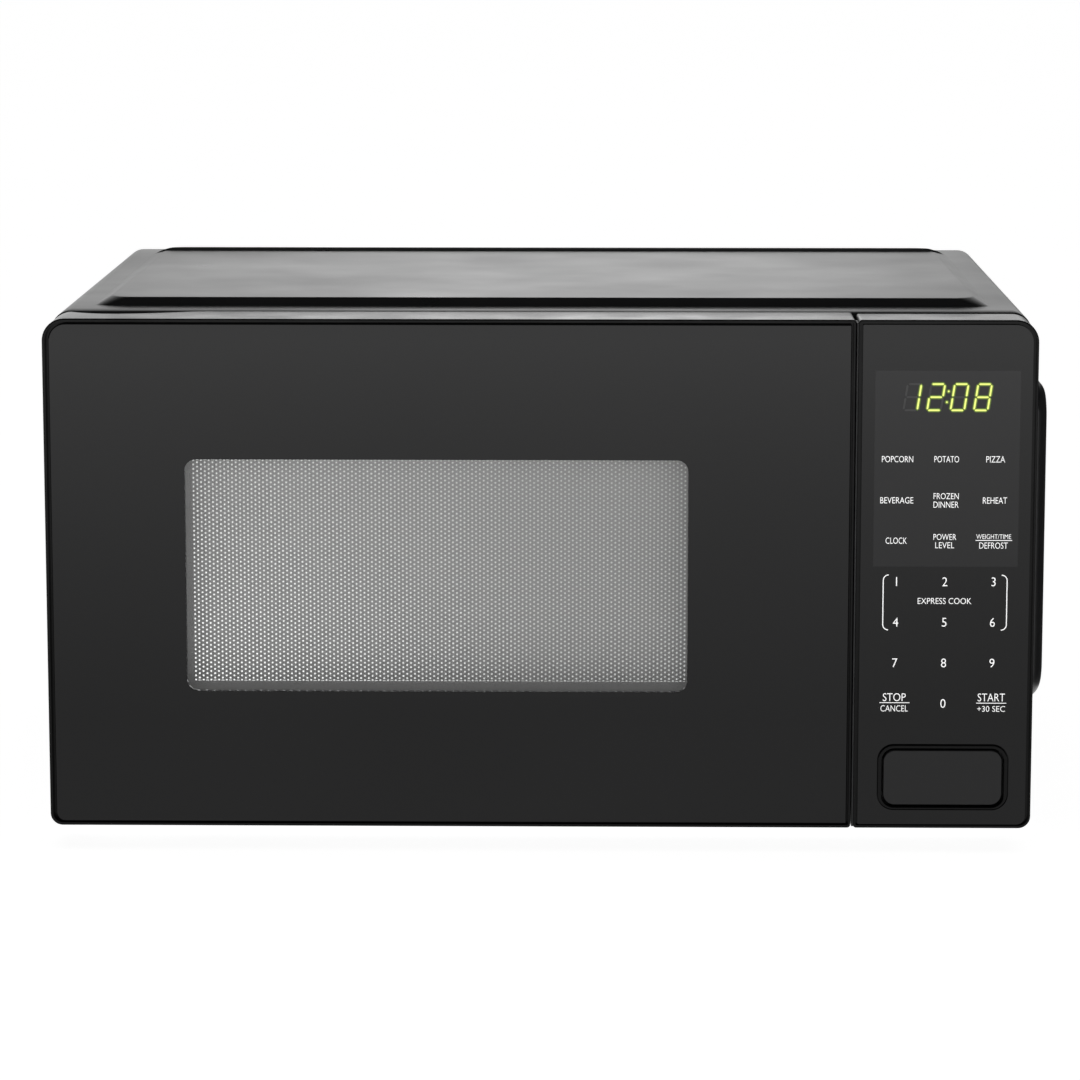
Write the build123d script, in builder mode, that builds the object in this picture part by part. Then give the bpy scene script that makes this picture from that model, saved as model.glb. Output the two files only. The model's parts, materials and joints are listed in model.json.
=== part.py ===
"""Countertop microwave oven, 0.7 cubic foot class, with a push-button side-opening door.

Millimetres. +X is right, +Y is back and +Z is up. The origin is at the middle of the
overall box, on the surface that the feet stand on. Sizes below are written in cabinet
coordinates: x from the middle of the front, y back from the door's face, z up from the
bottom edge of the front. ORIGIN turns them into the part's frame.
"""

import math
import os

from build123d import *

# ---- driving dimensions -------------------------------------------------------------
WIDTH = 439.5  # across the front
HEIGHT = 228.2  # of the front, above the cabinet's bottom
FRONT_BOTTOM = -0.5  # the door and panel reach a little lower than the cabinet
CABINET_FRONT, CABINET_REAR = 31.0, 336.0  # front and rear edge of the steel wrap
REAR_PROUD = 4.0  # cord gland and screw heads behind the wrap
FOOT_HEIGHT = 12.0
SHEET = 1.0  # steel sheet, as modelled
PANEL_RISE = 3.4  # raised middle of the top
BULGE = 9.5  # duct pressed out of the right side
PLASTIC = 2.5  # moulded walls
TOP_CORNER, BOTTOM_CORNER = 10.0, 5.5  # radii of the front outline

DOOR_RIGHT = 139.3
PANEL_LEFT = 140.4
DOOR_BACK = 30.5
HINGE_X, HINGE_Y = -212.5, 19.0
HINGE_PIN_R, RUNNING = 3.0, 0.05  # pin radius and radial running clearance
HINGES = {  # flange heights, tongue heights, pin heights
    "hinge_upper": ((190.0, 218.0), (216.0, 218.0), (205.0, 216.0)),
    "hinge_lower": ((10.0, 38.0), (10.0, 12.0), (12.0, 23.0)),
}

CAVITY_X = (-196.0, 108.0)
CAVITY_Y = (33.0, 325.0)
CAVITY_Z = (18.0, 212.0)

HOOKS_Z = (50.8, 180.8)  # lowest point of each latch hook

TURN_X, TURN_Y = sum(CAVITY_X) / 2, 178.0
TRAY_R, ROLLER_R, RING_R = 122.5, 7.0, 92.5
ROLLER_ANGLES = (90, 210, 330)

CORD = (198.0, 26.0)  # where the cord leaves the back, and radii of its hole and gland neck
CORD_R, CORD_NECK_R = 3.7, 6.9

HALF = WIDTH / 2
ORIGIN = Vector(-BULGE / 2, -(CABINET_REAR + REAR_PROUD) / 2, FOOT_HEIGHT)


# ---- placing helpers ----------------------------------------------------------------
def facing(y):
    """A plane parallel to the front at depth y, looked at from the front."""
    return Plane(ORIGIN + Vector(0, y, 0), x_dir=(1, 0, 0), z_dir=(0, -1, 0))


def level(z):
    """A horizontal plane at height z."""
    return Plane(ORIGIN + Vector(0, 0, z), x_dir=(1, 0, 0), z_dir=(0, 0, 1))


def upright(x):
    """A plane parallel to the right side, with its first axis along +Y."""
    return Plane(ORIGIN + Vector(x, 0, 0), x_dir=(0, 1, 0), z_dir=(1, 0, 0))


def block(x, y, z, mode=Mode.ADD):
    """A box between (low, high) pairs."""
    low = Vector(x[0], y[0], z[0])
    high = Vector(x[1], y[1], z[1])
    size = high - low
    with Locations(Location(ORIGIN + (low + high) * 0.5)):
        Box(size.X, size.Y, size.Z, mode=mode)


def rod(plane, at, radius, length, mode=Mode.ADD):
    """A cylinder of the given length that starts on a plane, along its normal."""
    with BuildSketch(plane) as disc:
        with Locations(at):
            Circle(radius)
    extrude(disc.sketch, amount=length, mode=mode)


def rounded_slab(y, x, z, radius, depth, mode=Mode.ADD):
    """A slab with rounded corners that starts at depth y and runs back."""
    with BuildSketch(facing(y)) as outline:
        with Locations(((x[0] + x[1]) / 2, (z[0] + z[1]) / 2)):
            RectangleRounded(x[1] - x[0], z[1] - z[0], radius)
    extrude(outline.sketch, amount=-depth, mode=mode)


def cornered_slab(y, x, z, radii, depth, mode=Mode.ADD):
    """A slab that starts at depth y and runs back, with its own radius at each corner:
    top left, top right, bottom right, bottom left."""
    corners = ((x[0], z[1]), (x[1], z[1]), (x[1], z[0]), (x[0], z[0]))
    with BuildSketch(facing(y)) as outline:
        with BuildLine():
            Polyline(*corners, close=True)
        make_face()
        for corner, radius in zip(corners, radii):
            fillet(outline.vertices().sort_by_distance((*corner, 0))[0], radius)
    extrude(outline.sketch, amount=-depth, mode=mode)


def coil(base, direction, radius, wire, length, turns):
    """A helical compression spring that starts at base."""
    centre = ORIGIN + Vector(*base)
    with BuildLine() as path:
        Helix(length / turns, length, radius, center=centre, direction=direction)
    with BuildSketch(Plane(path.line @ 0, z_dir=path.line % 0)) as section:
        Circle(wire)
    sweep(section.sketch, path=path.line)


def finish(builder, name):
    """Labels a finished piece and writes it."""
    builder.part.label = name
    export_step(builder.part, f"parts/{name}.step")


os.makedirs("parts", exist_ok=True)


# ---- cabinet ------------------------------------------------------------------------
# foot and crest of the raised top: length, width, corner radius
PANEL_OUTLINES = ((403.0, 263.0, 28.0), (389.0, 249.0, 22.0))
# foot and crest of the side duct: depth range, height range, corner radius
DUCT_OUTLINES = (((45, 300), (47, 196), 10.0), ((52, 293), (54, 189), 9.0))


def cabinet_form(inset, y, bottom):
    """The outside of the steel wrap, drawn in by inset, from y[0] to y[1]."""
    half = HALF - 0.25 - inset
    top = HEIGHT - inset
    bend = 8.5 - inset
    cornered_slab(y[0], (-half, half), (bottom, top), (bend, bend, 0.3, 0.3), y[1] - y[0])
    # raised middle of the top
    outlines = []
    for (long, wide, corner), z in zip(PANEL_OUTLINES, (top, top + PANEL_RISE)):
        with BuildSketch(level(z)) as outline:
            with Locations((0, 185.5)):
                RectangleRounded(long - inset, wide - inset, corner)
        outlines.append(outline.sketch)
    loft(outlines)
    # duct pressed out of the right side
    outlines = []
    for (back, up, corner), x in zip(DUCT_OUTLINES, (half, half + BULGE + 0.25)):
        with BuildSketch(upright(x)) as outline:
            with Locations((sum(back) / 2, sum(up) / 2)):
                long, tall = back[1] - back[0], up[1] - up[0]
                RectangleRounded(long - 2 * inset, tall - 2 * inset, corner)
        outlines.append(outline.sketch)
    loft(outlines)


with BuildPart() as cabinet_inside:
    cabinet_form(SHEET, (CABINET_FRONT + SHEET, CABINET_REAR - SHEET), -5.0)

with BuildPart() as outer_cabinet:
    cabinet_form(0.0, (CABINET_FRONT, CABINET_REAR), 0.0)
    add(cabinet_inside.part, mode=Mode.SUBTRACT)
    # openings inside the folded front and rear flanges
    block((-213, 213), (30, 33), (-1, 221.5), mode=Mode.SUBTRACT)
    block((-209, 209), (334, 337), (-1, 218), mode=Mode.SUBTRACT)
    for flange, _, _ in HINGES.values():  # room for the hinge tongues
        block((-218.4, -206), (30, 33), (flange[0] - 2, flange[1] + 2), mode=Mode.SUBTRACT)
    # louvres in the duct
    with BuildSketch(upright(HALF - 5)):
        with Locations((172, 123)):
            with GridLocations(13, 46, 15, 2):
                SlotOverall(34, 4.5, rotation=90)
    extrude(amount=30, mode=Mode.SUBTRACT)
finish(outer_cabinet, "outer_cabinet")

with BuildPart() as rear_panel:
    with BuildSketch(facing(334)):
        with Locations((0, 113.6)):
            RectangleRounded(436.0, 225.0, 6.0)
    extrude(amount=-SHEET)
    with BuildSketch(facing(333)):
        with Locations((165, 60)):
            with GridLocations(9.0, 26, 9, 3):
                SlotOverall(20, 4.2, rotation=90)
        with Locations((-60, 190)):
            with GridLocations(11.0, 1, 16, 1):
                SlotOverall(26, 4.2, rotation=90)
        with Locations(CORD):
            Circle(CORD_NECK_R + 0.1)
    extrude(amount=-4, mode=Mode.SUBTRACT)
finish(rear_panel, "rear_panel")

with BuildPart() as base_plate:
    block((-218.0, 218.0), (33.2, 333.8), (0.0, SHEET))
    for side in (-1, 1):
        edge = sorted((side * 218.0, side * 217.0))
        block(edge, (33.2, 333.8), (0.0, 9.0))
    for low in (-165, 5):  # stiffening pads pressed up between the feet
        block((low, low + 80), (60, 300), (SHEET, 3.0))
    for low in (-165, 5):
        block((low + 2, low + 78), (62, 298), (-1.0, 1.8), mode=Mode.SUBTRACT)
    with BuildSketch(level(-1)):
        for middle in (138, 248):
            with Locations((182, middle)):
                with GridLocations(1, 11, 1, 7):
                    SlotOverall(44, 4.5)
    extrude(amount=6, mode=Mode.SUBTRACT)
finish(base_plate, "base_plate")

FEET = {
    "foot_front_left": (-186, 72),
    "foot_front_right": (186, 72),
    "foot_rear_left": (-186, 306),
    "foot_rear_right": (186, 306),
}
for name, (x, y) in FEET.items():
    with BuildPart() as foot:
        with BuildSketch(level(0)):
            with Locations((x, y)):
                Circle(14.0)
        extrude(amount=-FOOT_HEIGHT, taper=14)
        sole = foot.faces().sort_by(Axis.Z)[0]
        fillet(sole.edges(), 1.5)
        rod(level(-FOOT_HEIGHT), (x, y), 5.0, 3.0, mode=Mode.SUBTRACT)
    finish(foot, name)

with BuildPart() as front_plate:
    with BuildSketch(facing(32)):
        with Locations((0, 113.6)):
            RectangleRounded(436.4, 226.0, 7.0)
        with Locations((sum(CAVITY_X) / 2, sum(CAVITY_Z) / 2)):
            RectangleRounded(304, 194, 6.0, mode=Mode.SUBTRACT)
        with Locations((180, 114)):
            RectangleRounded(64, 200, 4.0, mode=Mode.SUBTRACT)
        for hook in HOOKS_Z:
            with Locations((130.25, hook + 6.7)):
                RectangleRounded(9.5, 15.0, 1.5, mode=Mode.SUBTRACT)
        for _, tongue, _ in HINGES.values():
            with Locations((HINGE_X, sum(tongue) / 2)):
                Rectangle(9.6, 2.8, mode=Mode.SUBTRACT)
    extrude(amount=-SHEET)
finish(front_plate, "front_plate")

with BuildPart() as oven_cavity:
    outer = [(low - SHEET, high + SHEET) for low, high in (CAVITY_X, CAVITY_Z)]
    rounded_slab(33, outer[0], outer[1], 7.0, CAVITY_Y[1] + SHEET - 33)
    rounded_slab(32, CAVITY_X, CAVITY_Z, 6.0, CAVITY_Y[1] - 32, mode=Mode.SUBTRACT)
    # coupler hole, waveguide mouth, lamp and air slots
    with BuildSketch(level(10)):
        with Locations((TURN_X, TURN_Y)):
            Rectangle(16, 16)
    extrude(amount=10, mode=Mode.SUBTRACT)
    with BuildSketch(upright(CAVITY_X[1] - 2)):
        with Locations((192, 160)):
            RectangleRounded(84, 60, 4.0)
        with Locations((106, 190)):
            with GridLocations(6, 10, 5, 2):
                SlotOverall(8, 2.6, rotation=90)
        with Locations((95, 60)):
            with GridLocations(6, 12, 9, 3):
                SlotOverall(9, 2.6, rotation=90)
    extrude(amount=6, mode=Mode.SUBTRACT)
    with BuildSketch(upright(CAVITY_X[0] - 3)):
        with Locations((260, 190)):
            with GridLocations(6, 12, 9, 2):
                SlotOverall(9, 2.6, rotation=90)
    extrude(amount=6, mode=Mode.SUBTRACT)
finish(oven_cavity, "oven_cavity")

# ---- hinges -------------------------------------------------------------------------
for name, (flange, tongue, pin) in HINGES.items():
    with BuildPart() as hinge:
        block((HINGE_X - 4.5, HINGE_X + 10), (33.0, 34.8), flange)
        block((HINGE_X - 4.5, HINGE_X + 4.5), (HINGE_Y, 34.8), tongue)
        rod(level(tongue[0]), (HINGE_X, HINGE_Y), 4.5, 2.0)
        rod(level(pin[0]), (HINGE_X, HINGE_Y), HINGE_PIN_R, pin[1] - pin[0])
    finish(hinge, name)

# ---- door ---------------------------------------------------------------------------
DOOR_X = (-HALF, DOOR_RIGHT)
POCKET_X, POCKET_Z = (-218.45, 138.35), (0.7, 227.0)  # inside of the moulded rim
GLASS_X, GLASS_Z = (-217.0, 137.5), (1.2, 226.0)

with BuildPart() as door_frame:
    outside = (TOP_CORNER, 1.5, 1.5, BOTTOM_CORNER)
    cornered_slab(0, DOOR_X, (FRONT_BOTTOM, HEIGHT), outside, DOOR_BACK)
    rim = door_frame.faces().sort_by(Axis.Y)[0]
    fillet(rim.edges(), 0.6)
    # hollow back, glass pocket and the opening through its ledge
    hollow_x = (-HALF + PLASTIC, DOOR_RIGHT - PLASTIC)
    hollow_z = (PLASTIC, HEIGHT - PLASTIC)
    cornered_slab(6, hollow_x, hollow_z, (7.5, 1, 1, 3), 40, mode=Mode.SUBTRACT)
    cornered_slab(-1, POCKET_X, POCKET_Z, (8.8, 0.8, 0.8, 4.4), 4.5, mode=Mode.SUBTRACT)
    rounded_slab(0, (-200, 124), (14, 214), 5.0, 10, mode=Mode.SUBTRACT)
    # the back is scooped near the hinge so that it swings clear of the cabinet
    with BuildSketch(level(-5)):
        with BuildLine():
            Line((-232, 28.0), (-210, 28.0))
            Spline((-210, 28.0), (-196, 20.5), (-170, 24.0), (-106, DOOR_BACK + 0.1))
            Polyline((-106, DOOR_BACK + 0.1), (-106, 60), (-232, 60), (-232, 28.0))
        make_face()
    extrude(amount=260, mode=Mode.SUBTRACT)
    # slots in the left wall that the hinge tongues pass through
    for _, tongue, _ in HINGES.values():
        middle = sum(tongue) / 2
        block((-225, -214), (12.0, 40), (middle - 2.2, middle + 2.2), mode=Mode.SUBTRACT)
    # hinge bosses
    for low, high in ((203.5, 213.5), (14.5, 24.5)):
        block((-218.0, HINGE_X), (5.5, HINGE_Y + 5.5), (low, high))
        rod(level(low), (HINGE_X, HINGE_Y), 5.5, high - low)
        block((-218.0, HINGE_X + 5.5), (5.5, HINGE_Y), (low, high))
        bore = HINGE_PIN_R + RUNNING
        rod(level(low - 1), (HINGE_X, HINGE_Y), bore, high - low + 2, mode=Mode.SUBTRACT)
    # guides for the latch bar and the seat of its spring
    for low in (80, 150):
        block((132.6, 137.0), (5.5, 22), (low, low + 10))
    block((125.5, 137.0), (5.5, 24), (212.5, 214.5))
finish(door_frame, "door_frame")

with BuildPart() as door_glass:
    cornered_slab(0.5, GLASS_X, GLASS_Z, (7.6, 0.6, 0.6, 3.8), 3.0)
finish(door_glass, "door_glass")

with BuildPart() as door_screen:
    block((-199, 124), (16.5, 17.3), (8, 220))
    block((-199, 124), (17.3, 28), (8, 220))
    block((-198, 123), (17.3, 29), (9, 219), mode=Mode.SUBTRACT)
    block((-181, 100), (17.3, 28), (26, 202))
    block((-180, 99), (17.3, 29), (27, 201), mode=Mode.SUBTRACT)
    for side in (-199, 112):  # tabs that screw to the plastic frame
        block((side, side + 12), (6.0, 16.5), (100, 116))
finish(door_screen, "door_screen")

with BuildPart() as door_choke_cover:
    rounded_slab(28, (-199.5, 136.0), (4, 224), 3.0, 2.2)
    rounded_slab(27, (-170, 80), (48, 178), 10.0, 5, mode=Mode.SUBTRACT)
    for hook in HOOKS_Z:
        block((125.5, 134.5), (27, 32), (hook - 0.8, hook + 14.2), mode=Mode.SUBTRACT)
finish(door_choke_cover, "door_choke_cover")

with BuildPart() as door_inner_film:
    rounded_slab(27.4, (-174, 84), (44, 182), 6.0, 0.6)
finish(door_inner_film, "door_inner_film")

with BuildPart() as door_latch:
    block((127, 132), (10, 24), (46, 200))
    block((127, 132), (12, 16), (100, 140), mode=Mode.SUBTRACT)
    for hook in HOOKS_Z:
        with BuildSketch(upright(127)):
            with BuildLine():
                Polyline(
                    (20, hook + 3.5),
                    (50, hook + 3.5),
                    (51, hook),
                    (53, hook),
                    (59, hook + 5.0),
                    (59, hook + 9.2),
                    (20, hook + 9.2),
                    close=True,
                )
            make_face()
        extrude(amount=5)
finish(door_latch, "door_latch")

with BuildPart() as latch_spring:
    coil((129.5, 17, 200.3), (0, 0, 1), 2.6, 0.4, 11.8, 6)
finish(latch_spring, "latch_spring")

# ---- control panel ------------------------------------------------------------------
PANEL_X = (PANEL_LEFT, HALF)
COLLAR_X, COLLAR_Z = (151.3, 209.2), (8.1, 37.5)

with BuildPart() as control_panel_frame:
    outside = (1.5, TOP_CORNER, BOTTOM_CORNER, 1.5)
    cornered_slab(0, PANEL_X, (FRONT_BOTTOM, HEIGHT), outside, 25)
    rim = control_panel_frame.faces().sort_by(Axis.Y)[0]
    fillet(rim.edges(), 0.6)
    # neck behind the shadow gap, and the strip behind the door's edge
    rounded_slab(20, (PANEL_X[0] + 0.6, HALF - 3), (3, HEIGHT - 4), 4.0, 11.0)
    block((137.0, 141.2), (31.0, 32.0), (2, 219))
    # hollow back, glass pocket
    hollow_x = (PANEL_X[0] + 2.8, HALF - 5.2)
    rounded_slab(4.6, hollow_x, (5.2, HEIGHT - 6.2), 3.0, 40, mode=Mode.SUBTRACT)
    pocket = (0.8, 9.0, 4.6, 0.8)
    cornered_slab(-1, (141.5, 218.9), POCKET_Z, pocket, 3.4, mode=Mode.SUBTRACT)
    # display opening, button collar and the bridge that holds the button's spring
    rounded_slab(0, (154, 206), (180, 206), 1.0, 6, mode=Mode.SUBTRACT)
    rounded_slab(0.0, COLLAR_X, COLLAR_Z, 7.0, 12.0)
    rounded_slab(-1, (152.9, 207.6), (9.2, 35.9), 5.8, 14, mode=Mode.SUBTRACT)
    block((142.5, 215.0), (28, 30), (15, 31))
    block((175, 185.5), (27, 31), (18, 28), mode=Mode.SUBTRACT)
    bead = control_panel_frame.faces().filter_by(Axis.Y).group_by(Axis.Y)[0].sort_by(SortBy.AREA)[0]
    fillet(bead.edges(), 0.5)
finish(control_panel_frame, "control_panel_frame")

with BuildPart() as control_panel_glass:
    cornered_slab(0.5, (142.4, 217.3), GLASS_Z, (0.6, 7.6, 3.8, 0.6), 1.5)
    around_x = (COLLAR_X[0] - 0.4, COLLAR_X[1] + 0.4)
    around_z = (COLLAR_Z[0] - 0.4, COLLAR_Z[1] + 0.4)
    rounded_slab(0, around_x, around_z, 7.4, 3, mode=Mode.SUBTRACT)
finish(control_panel_glass, "control_panel_glass")

with BuildPart() as keypad_membrane:
    rounded_slab(2.0, (147.8, 212.2), (46, 178), 3.0, 0.4)
    block((196, 206), (2.0, 2.4), (44, 46.5))
finish(keypad_membrane, "keypad_membrane")

with BuildPart() as display_module:
    block((154.6, 205.4), (3.2, 9.0), (180.6, 205.4))
    block((150, 210), (9.0, 10.6), (178, 208))
finish(display_module, "display_module")

with BuildPart() as control_board:
    block((146, 213), (12.2, 13.8), (46, 216))
    block((150, 178), (13.8, 29), (60, 84))  # relay
    block((184, 210), (13.8, 31), (58, 88))  # small transformer
    block((150, 166), (13.8, 28), (92, 104))  # second relay
    block((172, 200), (13.8, 17), (120, 132))  # controller
    for z in (150, 162, 174):
        rod(facing(13.8), (158, z), 3.4, -11)  # electrolytic capacitors
    block((180, 208), (13.8, 22), (196, 206))  # connector
finish(control_board, "control_board")

with BuildPart() as open_button:
    rounded_slab(0.8, (153.7, 206.8), (9.9, 35.1), 5.2, 11.6)
    cap = open_button.faces().sort_by(Axis.Y)[0]
    fillet(cap.edges(), 0.6)
    rounded_slab(3.0, (155.7, 204.8), (11.9, 33.1), 3.2, 20, mode=Mode.SUBTRACT)
    rounded_slab(12.4, (151.8, 208.7), (8.3, 37.0), 4.0, 1.6)
    block((176.5, 184.0), (12.4, 34.7), (21, 25))
finish(open_button, "open_button")

with BuildPart() as button_spring:
    coil((180.25, 14.7, 23), (0, 1, 0), 7.2, 0.45, 12.3, 5)
finish(button_spring, "button_spring")

# ---- door interlock -----------------------------------------------------------------
PIVOT_Y, PIVOT_Z, PIVOT_R = 41.0, 44.0, 2.0

with BuildPart() as interlock_bracket:
    block((112, 146), (33, 35), (36, 206))
    block((144, 200), (33, 35), (50, 62))
    for hook in HOOKS_Z:
        block((124.5, 136), (32, 36), (hook - 1.2, hook + 14.4), mode=Mode.SUBTRACT)
    for x in (120.5, 194.0):  # lugs that carry the lever's pin
        block((x, x + 3), (33, PIVOT_Y + 5), (PIVOT_Z - 5, 52))
    with BuildSketch(upright(120.5)):
        with Locations((PIVOT_Y, PIVOT_Z)):
            Circle(PIVOT_R)
    extrude(amount=76.5)
    for low, high in ((54, 66), (164, 193)):  # walls that carry the switches
        block((137, 139), (33, 82), (low, high))
finish(interlock_bracket, "interlock_bracket")

with BuildPart() as release_lever:
    with BuildSketch(upright(124.2)):
        with Locations((PIVOT_Y, PIVOT_Z)):
            Circle(4.5)
    extrude(amount=69.0)
    block((170, 191), (36, 39.5), (17, PIVOT_Z))
    block((125.5, 133.5), (PIVOT_Y, 59), (PIVOT_Z, PIVOT_Z + 5.6))
    with BuildSketch(upright(123)):
        with Locations((PIVOT_Y, PIVOT_Z)):
            Circle(PIVOT_R + RUNNING)
    extrude(amount=80, mode=Mode.SUBTRACT)
finish(release_lever, "release_lever")

SWITCHES = {  # low corner of each switch body in x and z
    "upper": (126.5, 181.0),
    "middle": (126.5, 165.0),
    "lower": (126.5, 54.0),
}
for name, (x, z) in SWITCHES.items():
    with BuildPart() as microswitch:
        block((x, x + 6.4), (62.5, 82), (z, z + 11))
        block((x + 2.0, x + 4.6), (60, 67), (z + 3.8, z + 6.4), mode=Mode.SUBTRACT)
        for y in (65, 79):
            rod(upright(x - 1), (y, z + 1.8), 0.9, 10, mode=Mode.SUBTRACT)
        for y in (70, 76, 80):
            block((x + 1.5, x + 4.5), (y, y + 0.8), (z + 11, z + 15))
        block((x + 6.4, 137.0), (68, 76), (z + 1, z + 8))
    finish(microswitch, f"microswitch_{name}")
    with BuildPart() as plunger:
        block((x + 2.3, x + 4.3), (60.6, 64.5), (z + 4.1, z + 6.1))
    finish(plunger, f"switch_plunger_{name}")

# ---- turntable ----------------------------------------------------------------------
FLOOR = CAVITY_Z[0]
with BuildPart() as turntable_motor:
    rod(level(2.0), (TURN_X, TURN_Y), 24.5, 14.4)
    fillet(turntable_motor.edges().filter_by(GeomType.CIRCLE), 1.2)
    block((TURN_X - 31, TURN_X + 31), (TURN_Y - 5, TURN_Y + 5), (15.0, 16.4))
    rod(level(8.0), (TURN_X, TURN_Y), 3.5 + RUNNING, 10.0, mode=Mode.SUBTRACT)
finish(turntable_motor, "turntable_motor")

with BuildPart() as drive_shaft:
    rod(level(8.3), (TURN_X, TURN_Y), 3.5, 18.7)
finish(drive_shaft, "drive_shaft")

with BuildPart() as drive_coupler:
    rod(level(20.0), (TURN_X, TURN_Y), 9.0, 12.0)
    with BuildSketch(level(26.5)):
        with Locations((TURN_X, TURN_Y)):
            for angle in (0, 120, 240):
                with Locations(Rotation(0, 0, angle)):
                    with Locations((9, 0)):
                        Rectangle(18, 7)
    extrude(amount=5.5)
    rod(level(19.0), (TURN_X, TURN_Y), 3.5, 8.0, mode=Mode.SUBTRACT)
finish(drive_coupler, "drive_coupler")

TRAY_FLOOR = FLOOR + 2 * ROLLER_R + 0.6
TRAY_CENTRE = ORIGIN + Vector(TURN_X, TURN_Y, TRAY_FLOOR)
with BuildPart() as glass_tray:
    with BuildSketch(Plane(TRAY_CENTRE, x_dir=(1, 0, 0), z_dir=(0, -1, 0))):
        with BuildLine():
            Polyline((0, 0), (102, 0))
            Spline((102, 0), (113, 3.2), (TRAY_R - 1.5, 12.4), tangents=((1, 0), (0.5, 1)))
            ThreePointArc((TRAY_R - 1.5, 12.4), (TRAY_R + 0.4, 14.6), (TRAY_R - 3.4, 14.8))
            Spline((TRAY_R - 3.4, 14.8), (110, 7.0), (100, 4.6), tangents=((-0.5, -1), (-1, 0)))
            Polyline((100, 4.6), (0, 4.6), (0, 0))
        make_face()
    revolve(axis=Axis(TRAY_CENTRE, (0, 0, 1)))
    with BuildSketch(level(TRAY_FLOOR - 4.5)):
        with Locations((TURN_X, TURN_Y)):
            for angle in (60, 180, 300):
                with Locations(Rotation(0, 0, angle)):
                    with Locations((14.5, 0)):
                        RectangleRounded(6, 12, 2.0)
    extrude(amount=4.5)
finish(glass_tray, "glass_tray")

ROLLER_Z = FLOOR + 0.3 + ROLLER_R


def outward(angle, radius):
    """A plane square to a ring radius, with its normal pointing outward."""
    direction = Vector(math.cos(math.radians(angle)), math.sin(math.radians(angle)), 0)
    return Plane(ORIGIN + Vector(TURN_X, TURN_Y, ROLLER_Z) + direction * radius, z_dir=direction)


with BuildPart() as roller_ring:
    with BuildSketch(level(ROLLER_Z - 3.5)):
        with Locations((TURN_X, TURN_Y)):
            Circle(RING_R - 6)
            Circle(RING_R - 12, mode=Mode.SUBTRACT)
    extrude(amount=7)
    fillet(roller_ring.edges().filter_by(GeomType.CIRCLE), 1.5)
    for angle in ROLLER_ANGLES:
        rod(outward(angle, RING_R - 9), (0, 0), 3.4, 4.5)
        rod(outward(angle, RING_R - 9), (0, 0), 2.0, 15.5)
finish(roller_ring, "roller_ring")

for number, angle in enumerate(ROLLER_ANGLES, start=1):
    with BuildPart() as roller:
        rod(outward(angle, RING_R - 4), (0, 0), ROLLER_R, 8.5)
        fillet(roller.edges().filter_by(GeomType.CIRCLE), 1.0)
        rod(outward(angle, RING_R - 5), (0, 0), 2.0 + RUNNING, 12, mode=Mode.SUBTRACT)
    finish(roller, f"roller_{number}")

# ---- inside the component bay -------------------------------------------------------
with BuildPart() as waveguide:
    block((109.0, 127.0), (145, 268), (124, 196))
    block((108.0, 126.0), (146, 267), (125, 195), mode=Mode.SUBTRACT)
    rod(upright(120), (206, 152), 10.5, 10, mode=Mode.SUBTRACT)
finish(waveguide, "waveguide")

with BuildPart() as waveguide_cover:
    with BuildSketch(upright(CAVITY_X[1] - 0.6)):
        with Locations((192, 160)):
            RectangleRounded(92, 68, 3.0)
    extrude(amount=0.6)
finish(waveguide_cover, "waveguide_cover")

with BuildPart() as magnetron:
    block((127.0, 207), (158, 254), (116, 188))
    block((129.5, 204.5), (157, 255), (119, 185), mode=Mode.SUBTRACT)
    rod(upright(129.5), (206, 152), 19.0, 75)
    for x in range(138, 200, 8):
        block((x, x + 1.0), (162, 250), (119, 185))
    rod(upright(110), (206, 152), 8.0, 20)
    rod(upright(207), (206, 152), 13.0, 4)
finish(magnetron, "magnetron")

LEG_X, COIL_Z = (149, 179), (18, 58)
with BuildPart() as transformer_core:
    block((122, 206), (95, 155), (1.0, 74))
    for window in ((135, LEG_X[0]), (LEG_X[1], 193)):
        block(window, (94, 156), COIL_Z, mode=Mode.SUBTRACT)
    for x in (126, 202):  # weld beads
        rod(level(1.0), (x, 155.0), 2.0, 73)
finish(transformer_core, "transformer_core")

with BuildPart() as transformer_windings:
    with BuildSketch(level(COIL_Z[0] + 0.5)):
        with Locations((sum(LEG_X) / 2, 125)):
            RectangleRounded(57, 86, 12.0)
            Rectangle(LEG_X[1] - LEG_X[0] + 0.6, 60.6, mode=Mode.SUBTRACT)
    extrude(amount=COIL_Z[1] - COIL_Z[0] - 1)
finish(transformer_windings, "transformer_windings")

with BuildPart() as hv_capacitor:
    with BuildSketch(facing(190)):
        with Locations((150, 21)):
            SlotOverall(52, 33)
    extrude(amount=-88)
    for x in (140, 160):
        block((x - 3, x + 3), (184, 190), (20, 21))
finish(hv_capacitor, "hv_capacitor")

with BuildPart() as capacitor_clamp:
    with BuildSketch(facing(225)):
        with Locations((150, 21)):
            SlotOverall(54, 35)
            SlotOverall(52.2, 33.2, mode=Mode.SUBTRACT)
    extrude(amount=-14)
    block((177.0, 190), (225, 239), (1.0, 3.0))
    block((176.3, 178), (225, 239), (1.0, 22.0))
finish(capacitor_clamp, "capacitor_clamp")

with BuildPart() as hv_diode:
    with BuildSketch(facing(192)):
        with Locations((188, 30)):
            Circle(3.6)
    extrude(amount=-22)
    block((187.2, 188.8), (180, 192), (29.2, 30.8))
    block((184, 192), (214, 215.5), (3.0, 34))
    block((184, 192), (205, 215), (1.0, 3.0))
finish(hv_diode, "hv_diode")

FAN_X, FAN_Z = 165.0, 62.0
with BuildPart() as fan_duct:
    block((116, 214), (296, 330), (6, 112))
    block((118, 212), (295, 318), (8, 110), mode=Mode.SUBTRACT)
    block((118, 212), (320, 331), (8, 110), mode=Mode.SUBTRACT)
    rod(facing(317), (FAN_X, FAN_Z), 43.0, -6, mode=Mode.SUBTRACT)
finish(fan_duct, "fan_duct")

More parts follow.
